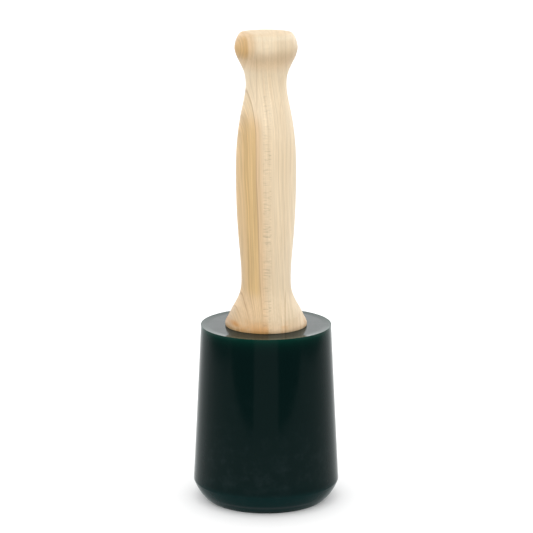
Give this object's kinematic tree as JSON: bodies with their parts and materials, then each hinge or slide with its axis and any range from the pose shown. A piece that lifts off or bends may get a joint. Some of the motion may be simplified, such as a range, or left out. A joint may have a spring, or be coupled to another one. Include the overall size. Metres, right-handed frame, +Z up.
{
  "type": "round rubber mallet",
  "caption": "Round mallet with a solid tapered rubber head on a turned maple handle, drawn down by a lag screw and washers recessed in its base.",
  "frame": {"origin": "centre of the head's flat base, on the surface that the mallet stands on", "axes": "+Z runs up the axis of the head and the handle; X and Y are equal, because every piece is turned about Z"},
  "size_m": [0.079, 0.079, 0.254],
  "materials": {
    "head_rubber": "glossy cast, dark green",
    "handle_maple": "fine-sanded pale maple with a thin clear seal",
    "fixing_steel": "zinc plated"
  },
  "bodies": {
    "root": {"head": "head_rubber", "handle": "handle_maple", "flat_washer": "fixing_steel", "lock_washer": "fixing_steel", "lag_screw": "fixing_steel"}
  },
  "joints": []
}
